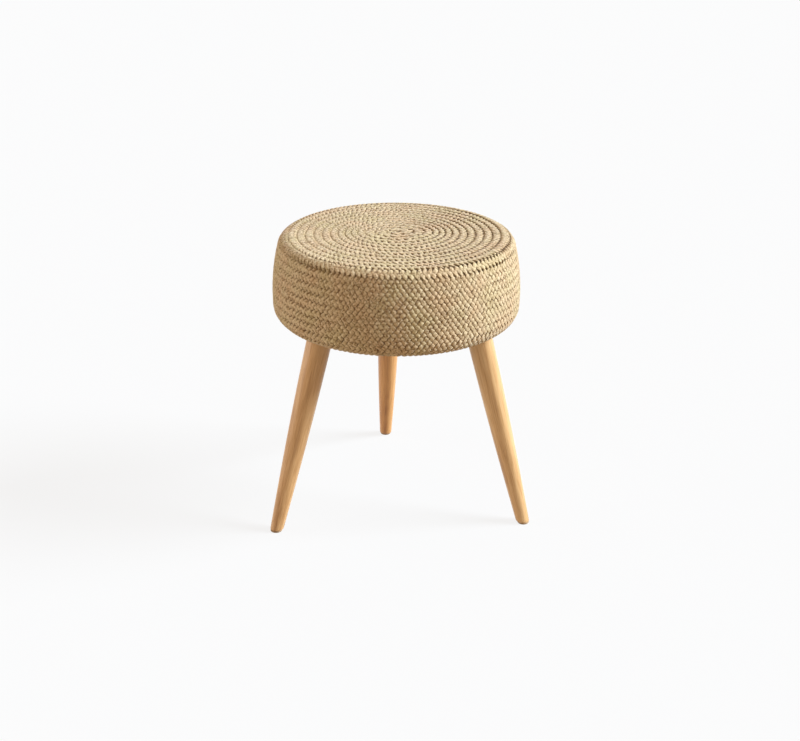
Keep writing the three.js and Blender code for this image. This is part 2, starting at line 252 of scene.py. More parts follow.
# %% Mesh helpers
def add_piece(name, mesh, material=None, smooth=True):
    """Puts a mesh in the scene as a piece that rides on the stool's only body."""
    piece = bpy.data.objects.new(name, mesh)
    bpy.context.scene.collection.objects.link(piece)
    if smooth:
        mesh.shade_smooth()
    if material is not None:
        mesh.materials.append(material)
    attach(piece, "root")
    return piece


def tube_mesh(name, grid):
    """A closed mesh from an array of rings: grid[row, column] is a point."""
    rows, columns = grid.shape[:2]
    mesh = bpy.data.meshes.new(name)
    index = np.arange(rows * columns).reshape(rows, columns)
    after = np.roll(index, -1, axis=1)
    quads = np.stack([index[:-1], after[:-1], after[1:], index[1:]], axis=-1).reshape(-1, 4)
    caps = [index[0][::-1], index[-1]]
    loops = np.concatenate([quads.ravel(), *caps])
    sizes = np.concatenate([np.full(len(quads), 4), np.full(2, columns)])
    starts = np.concatenate([[0], np.cumsum(sizes)[:-1]])
    mesh.vertices.add(rows * columns)
    mesh.vertices.foreach_set("co", grid.reshape(-1, 3).astype(np.float32).ravel())
    mesh.loops.add(len(loops))
    mesh.loops.foreach_set("vertex_index", loops.astype(np.int32))
    mesh.polygons.add(len(sizes))
    mesh.polygons.foreach_set("loop_start", starts.astype(np.int32))
    mesh.update(calc_edges=True)
    mesh.validate()
    return mesh


# %% [markdown]
# ## The outline of the seat
# The seat is round, so its whole shape is one curve seen from the side: out over a slightly
# crowned top, round the rim, down the wall and under. Everything soft follows that curve. It is
# written as a function of the distance travelled along it, because a coiled braid advances by
# distance.

# %% Bends of the outline
TOP_CORNER = 20 * MM
BOTTOM_CORNER = 26 * MM
WALL_BULGE = 315 * MM
WIDEST_ABOVE_FLOOR = 42 * MM

top_bend = TOP_CORNER - BRAID_HALF
wall_bend = WALL_BULGE - BRAID_HALF
bottom_bend = BOTTOM_CORNER - BRAID_HALF
top_bend_level = rim_height - TOP_CORNER
wall_bend_level = seat_floor + WIDEST_ABOVE_FLOOR
bottom_bend_level = seat_floor + BOTTOM_CORNER
top_tilt = math.acos((top_bend_level - wall_bend_level) / (WALL_BULGE - TOP_CORNER))
bottom_tilt = math.acos((bottom_bend_level - wall_bend_level) / (WALL_BULGE - BOTTOM_CORNER))
wall_reach = seat_radius - WALL_BULGE
crown_end = wall_reach + (WALL_BULGE - TOP_CORNER) * math.sin(top_tilt)
underside_reach = wall_reach + (WALL_BULGE - BOTTOM_CORNER) * math.sin(bottom_tilt)
top_bend_end = crown_end + top_bend * top_tilt
wall_end = top_bend_end + wall_bend * (bottom_tilt - top_tilt)
bottom_bend_end = wall_end + bottom_bend * (math.pi - bottom_tilt)
print(f"the outline is {bottom_bend_end:.3f} m long, from the middle to under the edge")


# %% Walk along the outline
def outline_at(distance):
    """Radius, height and tilt of the braid's middle surface at distances along the outline."""
    share = np.clip(distance / crown_end, 0, 1)
    where = [distance < crown_end, distance < top_bend_end, distance < wall_end]
    tilt = np.select(
        where,
        [np.arctan(CROWN_RISE / crown_end * math.pi / 2 * np.sin(math.pi * share)),
         (distance - crown_end) / top_bend,
         top_tilt + (distance - top_bend_end) / wall_bend],
        np.minimum(bottom_tilt + (distance - wall_end) / bottom_bend, math.pi))
    inwards = np.maximum(distance - bottom_bend_end, 0)
    radius = np.select(
        where,
        [distance, crown_end + top_bend * np.sin(tilt), wall_reach + wall_bend * np.sin(tilt)],
        underside_reach + bottom_bend * np.sin(tilt) - inwards)
    height = np.select(
        where,
        [rim_height - BRAID_HALF + CROWN_RISE / 2 * (1 + np.cos(math.pi * share)),
         top_bend_level + top_bend * np.cos(tilt), wall_bend_level + wall_bend * np.cos(tilt)],
        bottom_bend_level + bottom_bend * np.cos(tilt))
    return radius, height, tilt


# %% [markdown]
# ## The path of the braid
# The cover is one flat braid, sewn edge to edge from the middle of the top. Each time round, it
# moves along the outline by its own width, which is a little narrower on the side than on the
# top. A width that changes on the way has no simple formula, so the path is stepped through in
# small angles. It starts at the same place as the solid's coil, so that the course that turns
# over the rim does so where the solid's does.

# %% Wind the braid's path
PITCH_ON_TOP = 13 * MM
PITCH_ON_SIDE = 12 * MM
START_SHARE = 0.12
SOLID_START_SHARE = 0.62
STEPS_PER_LOOP = 360
FULL_TURN = 2 * math.pi


def between(first, second, share):
    """A value on the way from the first to the second."""
    return first + (second - first) * share


def side_share(distance):
    """0 on the top, 1 on the side, and a blend of the two as the braid turns over the rim."""
    return np.clip((distance - crown_end) / (top_bend_end - crown_end), 0, 1)


def pitch_at(distance):
    """The width of the braid, which is also how far a course moves on."""
    return between(PITCH_ON_TOP, PITCH_ON_SIDE, side_share(distance))


cover_end = bottom_bend_end - PITCH_ON_SIDE / 2
coil = [PITCH_ON_TOP * START_SHARE]
while coil[-1] < cover_end:
    coil.append(coil[-1] + float(pitch_at(coil[-1])) / STEPS_PER_LOOP)
coil = np.array(coil)
coil_turns = START_SHARE - SOLID_START_SHARE + np.arange(len(coil)) / STEPS_PER_LOOP
coil_radius = outline_at(coil)[0]
coil_step = np.hypot(np.diff(coil), coil_radius[:-1] * FULL_TURN / STEPS_PER_LOOP)
coil_length = np.concatenate([[0], np.cumsum(coil_step)])
turns_round = coil_turns[-1] - coil_turns[0]
print(f"the braid is {coil_length[-1]:.1f} m long and goes round {turns_round:.1f} times")

# %% [markdown]
# ## Stitches along the path
# Stitches on the top are spaced by length. On the wall each course has the same whole number of
# them, so the stitches of all courses line up into a lattice, which is how the side of such a
# seat looks. A plait is drawn by its period, in which a strand goes out and back once. So the
# path is read again at even shares of a period.

# %% Step along the stitches
PERIOD_ON_TOP = 25.5 * MM
PERIODS_ROUND_SIDE = 46
STEPS_PER_PERIOD = 15
SOLID_START_STEP = 14
SOLID_STEPS_PER_LOOP = 24
SOLID_ZERO_TURN = 0.25
START_TURN = SOLID_ZERO_TURN + SOLID_START_STEP / SOLID_STEPS_PER_LOOP

on_side = side_share(coil[:-1])
period_step = (coil_step / PERIOD_ON_TOP * (1 - on_side)
               + PERIODS_ROUND_SIDE / STEPS_PER_LOOP * on_side)
coil_periods = np.concatenate([[0], np.cumsum(period_step)])

periods = np.arange(0, coil_periods[-1], 1 / STEPS_PER_PERIOD)
length = np.interp(periods, coil_periods, coil_length)
angle = (np.interp(periods, coil_periods, coil_turns) + START_TURN) * FULL_TURN
advance = np.interp(periods, coil_periods, coil)
print(f"the plait has {periods[-1]:.0f} periods, in {len(periods)} steps")

# %% [markdown]
# ## Directions on the skin
# Each step of the braid needs a middle point on the seat's skin and two directions there:
# outward, square to the skin, and across, from one course to the next. They come from the
# outline's radius, height and tilt, and are arrays with one row for each step.

# %% Middle points and directions
radius, height, tilt = outline_at(advance)
radial = np.stack([np.cos(angle), np.sin(angle), np.zeros_like(angle)], axis=-1)
upward = np.array([0.0, 0.0, 1.0])
outward = np.sin(tilt)[:, None] * radial + np.cos(tilt)[:, None] * upward
across = np.cos(tilt)[:, None] * radial - np.sin(tilt)[:, None] * upward
middle = np.array(seat_axis) + radius[:, None] * radial + height[:, None] * upward
print(f"the skin goes down to {middle[:, 2].min():.4f} m")

# %% [markdown]
# ## Two ways of plaiting
# On the top of the seat the courses lie side by side, with a groove between them. On the front of
# the wall they are pulled into each other: the swing is wider than the course and runs straight,
# and each strand shows for only a third of its way, so that the strands cross in one net of small
# diamonds. At the two flanks the courses open again. One share, called lattice here, blends the
# two ways, and each size of the plait follows it.

# %% From courses to lattice
REACH_ON_TOP = 0.73
REACH_ON_SIDE = 1.32
HALF_WIDTH_ON_TOP = 3.0 * MM
HALF_WIDTH_ON_SIDE = 3.6 * MM
RISE_BIAS_ON_TOP = 0.5
RISE_BIAS_ON_SIDE = -0.45
RISE_FLATNESS_ON_TOP = 1.6
RISE_FLATNESS_ON_SIDE = 6.0
FLANKS_FROM = 0.36
FLANKS_FULL = 0.80
LEFT_FLANK_OPENING = 0.9
RIGHT_FLANK_OPENING = 0.6


def eased(share):
    """The same share from 0 to 1, with a soft start and a soft end."""
    return share * share * (3 - 2 * share)


wall_share = side_share(advance)
half_pitch = pitch_at(advance) / 2
flank = np.clip((np.abs(np.cos(angle)) - FLANKS_FROM) / (FLANKS_FULL - FLANKS_FROM), 0, 1)
flank = wall_share * eased(flank)
on_right = np.cos(angle) > 0
lattice = wall_share - np.where(on_right, RIGHT_FLANK_OPENING, LEFT_FLANK_OPENING) * flank
reach = half_pitch * between(REACH_ON_TOP, REACH_ON_SIDE, lattice)
strand_half = between(HALF_WIDTH_ON_TOP, HALF_WIDTH_ON_SIDE, lattice)
rise_bias = between(RISE_BIAS_ON_TOP, RISE_BIAS_ON_SIDE, lattice)
rise_flatness = between(RISE_FLATNESS_ON_TOP, RISE_FLATNESS_ON_SIDE, lattice)
print(f"the strands swing {reach.min() / MM:.1f} to {reach.max() / MM:.1f} mm to each side")

# %% [markdown]
# ## Start, end and unevenness
# Near the coil's middle there is no room for a full swing, so the inner half of it is squeezed.
# At the other end the strands are tucked in. A slow random drift that neighbouring courses share
# stops the plait from looking machined. It is a sum of waves over the skin, with a seed that
# never changes. Last, the coil begins as a short fold instead of a point, which draws its first
# rings into ovals.

# %% Ends, drift and fold
LEAST_SQUEEZE = 0.2
TUCK_LENGTH = 20 * MM
DRIFT_SHARE = 0.12
DRIFT_SEED = 1
DRIFT_WAVES = 9
DRIFT_TURNS = (5, 40)
DRIFT_SPANS = (20 * MM, 120 * MM)
FOLD_STRETCH = 0.6
FOLD_REACH = 50 * MM

squeeze = np.clip(radius / half_pitch, LEAST_SQUEEZE, 1)
tuck = eased(np.clip((length[-1] - length) / TUCK_LENGTH, 0, 1))


def uneven(seed):
    """A smooth random field from about -1 to 1 over the skin, which neighbours share."""
    random = np.random.default_rng(seed)
    total = np.zeros_like(angle)
    for _ in range(DRIFT_WAVES):
        turns = random.integers(*DRIFT_TURNS)
        span = random.uniform(*DRIFT_SPANS)
        total += np.sin(turns * angle + FULL_TURN * (advance / span + random.random()))
    return total / math.sqrt(DRIFT_WAVES)


def folded(points):
    """Draws the rings near the middle of the seat out along X, and leaves the outer ones round."""
    away = points[..., :2] - np.array(seat_axis)[:2]
    near = np.exp(-(away ** 2).sum(-1) / FOLD_REACH ** 2)
    moved = points.copy()
    moved[..., 0] += FOLD_STRETCH * near * away[..., 0]
    return moved


shared_drift = DRIFT_SHARE * uneven(DRIFT_SEED)
print(f"the drift goes up to {np.abs(shared_drift).max():.2f} of a radian")

# %% [markdown]
# ## The section of a strand
# Strands of loose jute flatten where they press on each other, so their section is a squarish
# oval: a cosine and a sine that are bent towards a square. Most of its points lie on the outer
# side, which is the one that shows.

# %% Section of a strand
STRAND_POINTS_AT = (0, 30, 60, 90, 120, 150, 180, 270)
STRAND_SQUARENESS = 0.48


def squared(wave):
    """A wave from -1 to 1 that is bent towards a square one."""
    return np.sign(wave) * np.abs(wave) ** STRAND_SQUARENESS


section_turn = np.radians(STRAND_POINTS_AT)
section_width = squared(np.cos(section_turn))
section_height = squared(np.sin(section_turn))
print("points round a strand:", len(section_turn))

# %% [markdown]
# ## Three strands
# In a flat plait each strand swings from edge to edge, and it comes to the surface once on its
# way out and once on its way back. So it needs one curve across and one of twice the speed up and
# down. The three strands do the same, a third of a period apart. Rings of points are then set
# square to each strand's middle line, a little wider here and narrower there.

# %% Middle line of a strand
STRAND_COUNT = 3
STRAND_HALF_THICKNESS = 2.25 * MM
SWING_STRAIGHTNESS = 0.97
RISE_LEAD = math.radians(30)
SIZE_CHANGE = 0.07
WIDTH_WAVES = (0.07, 0.19)
WIDTH_SEED = 20
THICKNESS_WAVES = (0.05, 0.13)
THICKNESS_SEED = 30


def wander(length, wavelengths, seed):
    """A smooth random curve from -1 to 1 over an array of distances, the same at every run."""
    random = np.random.default_rng(seed)
    total = np.zeros_like(length)
    for wavelength in wavelengths:
        total += np.sin(FULL_TURN * (length / wavelength + random.random()))
    return total / len(wavelengths)


def unit(vectors):
    """Rows of vectors, each made one long."""
    return vectors / np.linalg.norm(vectors, axis=1)[:, None]


def strand_centre(number, thick):
    """The middle line of one strand: its swing across the braid, and its rise to the surface."""
    phase = FULL_TURN * (periods + number / STRAND_COUNT) + shared_drift
    swing = np.arcsin(SWING_STRAIGHTNESS * np.sin(phase)) / math.asin(SWING_STRAIGHTNESS)
    sway = reach * swing * np.where(swing < 0, squeeze, 1)
    rise = np.tanh(rise_flatness * (np.sin(2 * phase + RISE_LEAD) + rise_bias))
    lift = (BRAID_HALF - thick) * rise * tuck + (tuck - 1) * STRAND_HALF_THICKNESS
    return middle + sway[:, None] * across + lift[:, None] * outward


# %% Rings along a strand
def strand_grid(number):
    """Rings of points along one strand."""
    loose = 1 + SIZE_CHANGE * wander(length, WIDTH_WAVES, WIDTH_SEED + number)
    change = SIZE_CHANGE * wander(length, THICKNESS_WAVES, THICKNESS_SEED + number)
    thick = STRAND_HALF_THICKNESS * (1 + change)
    centre = strand_centre(number, thick)
    forward = unit(np.gradient(centre, axis=0))
    sideways = unit(np.cross(forward, outward))
    up = np.cross(sideways, forward)
    wide = (strand_half * loose * squeeze)[:, None] * section_width
    tall = thick[:, None] * section_height
    return (centre[:, None, :] + wide[..., None] * sideways[:, None, :]
            + tall[..., None] * up[:, None, :])


# %% [markdown]
# ## What the jute has to know
# A material can read values that are kept on the points of a mesh. Three are kept here: how deep
# a point lies in the plait, which sets the painted shade in the crevices, how much of that
# painted shade is cut at the right flank, and where it is on the twisted yarn, so that the
# streaks of the fibres can follow the strand.

# %% Keep values and build the strands
# At the right flank, where the key light already shades the crevices, this share of the painted
# crevice shade is cut.
RIGHT_FLANK_SHADE_CUT = 0.6
TWIST_LENGTH = 14 * MM
YARN_PER_METRE = 100
YARN_OFFSET = 7


def store(mesh, name, values, kind="FLOAT"):
    """Keeps one value per point on the mesh, for a material to read."""
    layer = mesh.attributes.new(name, kind, "POINT")
    field = "vector" if kind == "FLOAT_VECTOR" else "value"
    layer.data.foreach_set(field, np.asarray(values, np.float32).ravel())


def keep_for_jute(mesh, grid, number):
    """Keeps the depth, the painted-shade cut and the place on the yarn on each point of a strand.
    """
    outer = ((grid - middle[:, None, :]) * outward[:, None, :]).sum(-1)
    store(mesh, "depth", np.clip(outer / BRAID_THICKNESS + 0.5, 0, 1))
    # The share of the painted crevice shade that is cut, on the right flank only.
    shallow = RIGHT_FLANK_SHADE_CUT * flank * on_right
    store(mesh, "shallow", np.repeat(shallow, len(section_turn)))
    twist = section_turn[None, :] + (length / TWIST_LENGTH)[:, None]
    along = np.repeat(length[:, None] * YARN_PER_METRE, len(section_turn), axis=1)
    yarn = np.stack([along + YARN_OFFSET * number, np.cos(twist), np.sin(twist)], axis=-1)
    store(mesh, "yarn", yarn, "FLOAT_VECTOR")


strands = []
for number in range(1, STRAND_COUNT + 1):
    name = f"jute_strand_{number}"
    grid = strand_grid(number)
    strand_shape = tube_mesh(name, folded(grid))
    keep_for_jute(strand_shape, grid, number)
    strand = add_piece(name, strand_shape)
    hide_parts("braided_cover")
    strands.append(strand)
print("strand faces:", [len(s.data.polygons) for s in strands])

# %% [markdown]
# ## Steps of a finish
# Every finish here is built the same way: a noise or a pattern, a ramp that turns it into
# colours, a mix or two, and a shader with a little relief. Each of these steps is one short
# function, so that a finish reads as a list of what it is made of.

# %% Material and colour helpers
def start_material(name):
    """A new material, and the function that adds nodes to it."""
    material = bpy.data.materials.new(name)
    material.use_nodes = True
    return material, new_nodes(material.node_tree)


def ramp(add, factor, stops):
    """A colour ramp through (position, colour) stops."""
    node = add("ShaderNodeValToRGB", Fac=factor)
    elements = node.color_ramp.elements
    while len(elements) < len(stops):
        elements.new(0.5)
    for element, (position, color) in zip(elements, stops):
        element.position = position
        element.color = (*color, 1)
    return node.outputs["Color"]


def mix_colors(add, kind, factor, first, second):
    """Two colours mixed; the node's sockets 6, 7 and 2 are its two colours and its result."""
    node = add("ShaderNodeMix", {"data_type": "RGBA", "blend_type": kind},
               in0=factor, in6=first, in7=second)
    return node.outputs[2]


# %% Texture and shader helpers
def place_of(add):
    """Where a point is, in metres."""
    return add("ShaderNodeTexCoord").outputs["Object"]


def kept(add, name, output="Fac"):
    """A value that was kept on the points of the mesh."""
    return add("ShaderNodeAttribute", {"attribute_name": name}).outputs[output]


def stretched(add, vector, scale):
    """The same places, scaled along each axis."""
    return add("ShaderNodeMapping", Vector=vector, Scale=scale).outputs[0]


def noise(add, vector, scale, detail=3.0, roughness=0.55):
    """A soft random pattern from 0 to 1."""
    node = add("ShaderNodeTexNoise", Vector=vector, Scale=scale, Detail=detail, Roughness=roughness)
    return node.outputs["Fac"]


def spread_out(add, value, low, high, top=1.0):
    """Spreads the values between low and high over 0 to top."""
    node = add("ShaderNodeMapRange", Value=value, From_Min=low, From_Max=high, To_Max=top)
    return node.outputs[0]


def shade(add, color, relief=None, **settings):
    """The end of a finish: its shader, with relief as (height, strength, distance)."""
    if relief is not None:
        height, strength, distance = relief
        raised = add("ShaderNodeBump", Strength=strength, Distance=distance, Height=height)
        settings["Normal"] = raised.outputs[0]
    shader = add("ShaderNodeBsdfPrincipled", Base_Color=color, **settings)
    add("ShaderNodeOutputMaterial", Surface=shader.outputs[0])


# %% [markdown]
# ## Jute
# Jute is a dry, straw-coloured bast fibre with little shine. Each strand is a bundle of fine
# fibres, slightly twisted, whose colour drifts from pale cream to golden brown along its length.
# The noise for that reads the kept place on the yarn, so the streaks follow the strand through
# every crossing. Fine dark specks, where fibres part, and large faint patches of greener or
# redder jute are placed in space instead, so they pass from one strand to the next.

# %% Colours of the jute
JUTE_PALE = (0.84, 0.70, 0.47)
JUTE_MIDDLE = (0.66, 0.50, 0.29)
JUTE_BROWN = (0.42, 0.27, 0.13)
NO_TINT = (1.0, 1.0, 1.0)
FIBRE_STRETCH = (0.55, 5.0, 5.0)
FIBRE_STOPS = [(0.30, JUTE_BROWN), (0.48, JUTE_MIDDLE), (0.66, JUTE_PALE)]
FIBRE_SHARE = 0.45
HUE_STRETCH = (0.45, 0.3, 0.3)
HUE_STOPS = [(0.32, JUTE_MIDDLE), (0.62, JUTE_PALE)]
SPECKS_PER_METRE = 330.0
SPECK_STOPS = [(0.38, (0.44, 0.36, 0.29)), (0.49, (0.98, 0.97, 0.96)), (0.62, NO_TINT)]
PATCHES_PER_METRE = 28.0
PATCH_STOPS = [(0.32, (0.97, 1.0, 0.94)), (0.50, NO_TINT), (0.68, (1.0, 0.94, 0.92))]

jute, add = start_material("jute")
yarn = kept(add, "yarn", "Vector")
fibres = noise(add, stretched(add, yarn, FIBRE_STRETCH), scale=2.4, detail=4.0, roughness=0.65)
hues = noise(add, stretched(add, yarn, HUE_STRETCH), scale=1.0)
jute_color = mix_colors(add, "MIX", FIBRE_SHARE, ramp(add, hues, HUE_STOPS),
                        ramp(add, fibres, FIBRE_STOPS))
place = place_of(add)
specks = noise(add, place, SPECKS_PER_METRE, detail=2.0, roughness=0.7)
jute_color = mix_colors(add, "MULTIPLY", 1.0, jute_color, ramp(add, specks, SPECK_STOPS))
patches = noise(add, place, PATCHES_PER_METRE, detail=1.0)
jute_color = mix_colors(add, "MULTIPLY", 1.0, jute_color, ramp(add, patches, PATCH_STOPS))
print("jute colours: fibres, specks and patches")

# %% [markdown]
# ## Crevices
# Between the strands the jute gets painted shade, a dark colour for the tight shadow that falls
# there. Two things find these crevices: the kept depth, and the Ambient Occlusion node, which
# looks for other surfaces within a few millimetres. A noise stands for stray fibres that fill some
# crevices in part, and lifts the painted shade there. At the right flank, where the key light
# already shades the crevices, part of the painted shade is cut. What is left is how free a point
# lies, and it mixes in the painted shade colour.

# %% Crevices and the jute's shader
# The colour of the painted shade in the crevices between strands.
JUTE_PAINTED_SHADE = (0.19, 0.105, 0.045)
CREVICE_REACH = 3 * MM
CREVICE_SAMPLES = 6
CREVICE_RANGE = (0.45, 0.86)
DEPTH_RANGE = (0.30, 0.75)
FILLS_PER_METRE = 150.0
FILL_RANGE = (0.40, 0.64)
FILL_SHARE = 0.4
FIBRE_RELIEF = 0.5 * MM

# Painted shade: the kept depth and the ambient occlusion find the crevices to darken.
around = add("ShaderNodeAmbientOcclusion", {"samples": CREVICE_SAMPLES}, Distance=CREVICE_REACH)
free = calculate(add, "MULTIPLY", spread_out(add, kept(add, "depth"), *DEPTH_RANGE),
                 spread_out(add, around.outputs["AO"], *CREVICE_RANGE))
# A noise lifts the painted crevice shade in patches.
fills = noise(add, place, FILLS_PER_METRE, detail=1.0)
free = calculate(add, "MAXIMUM", free, spread_out(add, fills, *FILL_RANGE, top=FILL_SHARE))
# At the right flank part of the painted crevice shade is cut.
free = calculate(add, "MAXIMUM", free, kept(add, "shallow"))
# Mixes the painted crevice shade into the jute's colour.
jute_color = mix_colors(add, "MIX", free, (*JUTE_PAINTED_SHADE, 1), jute_color)
shade(add, jute_color, relief=(fibres, 0.8, FIBRE_RELIEF), Roughness=0.88,
      Specular_IOR_Level=0.25, Sheen_Weight=0.3, Sheen_Roughness=0.4)
for strand in strands:
    strand.data.materials.append(jute)
print("jute is on", len(strands), "strands")

# %% [markdown]
# ## Lining and padding
# Under the braid the seat is ordinary upholstery: a cotton lining drawn over a soft foam pad and
# a firm foam block. None of it shows, but a cut view would, so each is a turned shape that
# follows the same outline further in. Turning a profile about the axis is the natural way to make
# a round cushion.

# %% Turned shapes
TURNED_SIDES = 96
LEAST_RADIUS = 0.05 * MM


def turned_mesh(name, profile, sides=TURNED_SIDES, centre=seat_axis, ripple=None):
    """A closed mesh turned about an upright axis from [radius, height] points, lower end first."""
    radii, heights = np.array(profile).T
    turn = np.arange(sides) / sides * FULL_TURN
    radii = np.maximum(radii, LEAST_RADIUS)[:, None] * np.ones(sides)
    heights = heights[:, None] * np.ones(sides)
    if ripple is not None:
        heights = heights + ripple(radii, turn)
    x = centre.x + radii * np.cos(turn)
    y = centre.y + radii * np.sin(turn)
    return tube_mesh(name, np.stack([x, y, heights], axis=-1))


def inset_outline(inset, start, end, steps):
    """[radius, height] points of the seat's outline, moved inwards by an inset."""
    radius, height, tilt = outline_at(np.linspace(start, end, steps))
    inner_radius = np.maximum(radius - inset * np.sin(tilt), 0)
    return np.stack([inner_radius, height - inset * np.cos(tilt)], axis=-1)


# %% [markdown]
# ## Cotton and foam
# Plain woven cotton is two crossed sets of threads, which two wave patterns give when one
# multiplies the other. Open foam is a mass of small cells, which a Voronoi pattern gives. Both
# have a slow drift from a lighter to a darker colour, because neither is ever quite even.

# %% Cotton finish
COTTON_THREADS_PER_MM = 0.8
THREADS_PER_WAVE = 6
THREAD_RELIEF = 0.2 * MM
WEAVE_SHARE = 0.35
COTTON_LIGHT = (0.80, 0.74, 0.62)
COTTON_DARK = (0.70, 0.62, 0.48)


def cloth_material(name, light, dark, threads_per_mm):
    """Plain woven cloth: two crossed sets of threads, with a little colour drift."""
    material, add = start_material(name)
    place = place_of(add)
    waves = threads_per_mm / MM / THREADS_PER_WAVE
    warp, weft = (add("ShaderNodeTexWave", {"bands_direction": direction}, Vector=place,
                      Scale=waves, Distortion=1.0, Detail=1.0).outputs["Fac"]
                  for direction in ("X", "Y"))
    weave = calculate(add, "MULTIPLY", warp, weft)
    drift = noise(add, place, scale=35.0)
    color = mix_colors(add, "MIX", drift, (*light, 1), (*dark, 1))
    color = mix_colors(add, "MULTIPLY", WEAVE_SHARE, color, weave)
    shade(add, color, relief=(weave, 0.5, THREAD_RELIEF), Roughness=0.92)
    return material


cotton = cloth_material("unbleached_cotton", COTTON_LIGHT, COTTON_DARK, COTTON_THREADS_PER_MM)
print("cloth finish:", cotton.name)

# %% Foam finishes
FOAM_CELLS_PER_METRE = 900.0
FOAM_RELIEF = 0.4 * MM
SOFT_LIGHT = (0.88, 0.83, 0.60)
SOFT_DARK = (0.80, 0.72, 0.45)
FIRM_LIGHT = (0.72, 0.62, 0.52)
FIRM_DARK = (0.45, 0.50, 0.55)


def foam_material(name, light, dark):
    """Open foam: a fine cell pattern on a soft, slightly uneven colour."""
    material, add = start_material(name)
    place = place_of(add)
    cells = add("ShaderNodeTexVoronoi", Vector=place, Scale=FOAM_CELLS_PER_METRE)
    drift = noise(add, place, scale=22.0)
    color = mix_colors(add, "MIX", drift, (*light, 1), (*dark, 1))
    shade(add, color, relief=(cells.outputs["Distance"], 0.6, FOAM_RELIEF), Roughness=0.95)
    return material


soft_foam = foam_material("soft_foam", SOFT_LIGHT, SOFT_DARK)
firm_foam = foam_material("firm_foam", FIRM_LIGHT, FIRM_DARK)
print("foam finishes:", soft_foam.name, firm_foam.name)

# %% [markdown]
# ## Lining
# The lining is what the braid is sewn to. It is drawn tight over the foams and turned a little
# under the seat, so its section is the outline moved in by half the braid, and then by its own
# thickness.

# %% Lining
LINING_LAP = 5 * MM
OUTLINE_STEPS = 90

lining_inset = BRAID_HALF + LINING_GAP
lining_end = bottom_bend_end + LINING_LAP
outer_face = inset_outline(lining_inset, 0, lining_end, OUTLINE_STEPS)
inner_face = inset_outline(lining_inset + LINING_THICKNESS, 0, lining_end, OUTLINE_STEPS)
lining_shape = turned_mesh("cotton_lining", [*inner_face, *outer_face[::-1]])
lining = add_piece("cotton_lining", lining_shape, cotton)
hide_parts("cover_lining")
lining_steps = np.linspace(0, lining_end, OUTLINE_STEPS)
lining_radii = outline_at(lining_steps)[0]

# %% [markdown]
# ## Foam layers
# A soft pad lies on a firm block. Each keeps the heights of its solid, and its side follows the
# outline just inside the lining. The soft pad is compressed a little by the tight cover, and the
# firm block isn't.

# %% Foam
CORE_STEPS = 400
FOAM_RINGS = 40

core_inset = lining_inset + LINING_THICKNESS + LINING_GAP
core = inset_outline(core_inset, 0, bottom_bend_end, CORE_STEPS)[::-1]
core = core[np.maximum.accumulate(core[:, 1]) == core[:, 1]]


def foam_slice(name, node, material):
    """A foam layer between the heights of its solid, following the outline inside the lining."""
    low, high = (corner.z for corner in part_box(node))
    heights = np.linspace(low, high, FOAM_RINGS)
    side = [(np.interp(z, core[:, 1], core[:, 0]), z) for z in heights]
    piece = add_piece(name, turned_mesh(name, [(0, low), *side, (0, high)]), material)
    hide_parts(node)
    print(name, f"from {low:.4f} to {high:.4f}")


foam_slice("soft_pad", "soft_foam_pad", soft_foam)
foam_slice("firm_block", "firm_foam_block", firm_foam)

# %% [markdown]
# ## Dust cloth
# The underside is closed by a thin black spun cloth, stapled near its edge. It hangs a hair slack
# between the staples and is flat where the leg plates press it to the board. A fine grid of
# points turned about the axis is enough, with the slack worked out from how far each point is
# from a staple or a plate.

# %% Slack of the dust cloth
LEG_COUNT = 3
DUST_SLACK = 0.9 * MM
EDGE_REACH = 14 * MM
PLATE_REACH = 25 * MM
FOLD_SHARE = 0.4
FOLDS_ROUND = 9
FOLD_TWIST = 40
FOLDS_INWARD = 70
FOLD_START = 1.3

dust_low, dust_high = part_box("dust_cloth")
dust_radius = (dust_high.x - dust_low.x) / 2
plate_boxes = [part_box(f"mounting_plate_{n + 1}") for n in range(LEG_COUNT)]


def dust_slack(radii, turn):
    """How far the cloth hangs below the board, from none at its edge and at the plates."""
    x = seat_axis.x + radii * np.cos(turn)
    y = seat_axis.y + radii * np.sin(turn)
    free = np.clip((dust_radius - radii) / EDGE_REACH, 0, 1)
    for low, high in plate_boxes:
        away = np.hypot(np.maximum(np.maximum(low.x - x, x - high.x), 0),
                        np.maximum(np.maximum(low.y - y, y - high.y), 0))
        free = free * np.clip(away / PLATE_REACH, 0, 1)
    round_folds = np.sin(FOLDS_ROUND * turn + FOLD_TWIST * radii)
    inward_folds = np.sin(FOLDS_INWARD * radii + FOLD_START)
    return -DUST_SLACK * free * (1 - FOLD_SHARE + FOLD_SHARE * round_folds * inward_folds)


print(f"plates under the cloth: {len(plate_boxes)}, and it hangs {DUST_SLACK / MM} mm at most")

# %% [markdown]
# ## The dust cloth's shape and finish
# Spun cloth isn't woven: hot rollers press loose fibres together in a fine pattern of dimples. It
# is black and dull, with slightly paler specks.

# %% Dust cloth
DUST_RINGS = 40
DUST_SIDES = 144
SPECK_BLACK = (0.012, 0.012, 0.013)
SPECK_GREY = (0.035, 0.035, 0.037)
DIMPLES_PER_METRE = 520.0
DIMPLE_RELIEF = 0.2 * MM

dust_rings = np.linspace(0, dust_radius, DUST_RINGS)
dust_profile = ([(r, dust_low.z) for r in dust_rings]
                + [(r, dust_high.z) for r in dust_rings[::-1]])
black_cloth, add = start_material("black_spun_cloth")
place = place_of(add)
specks = noise(add, place, scale=1400.0, detail=2.0)
dimples = add("ShaderNodeTexVoronoi", Vector=place, Scale=DIMPLES_PER_METRE).outputs["Distance"]
shade(add, ramp(add, specks, [(0.35, SPECK_BLACK), (0.7, SPECK_GREY)]),
      relief=(dimples, 0.6, DIMPLE_RELIEF), Roughness=0.9)
dust_shape = turned_mesh("black_dust_cloth", dust_profile, DUST_SIDES, ripple=dust_slack)
dust = add_piece("black_dust_cloth", dust_shape, black_cloth)
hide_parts("dust_cloth")
print(f"dust cloth: {2 * dust_radius:.3f} m across")

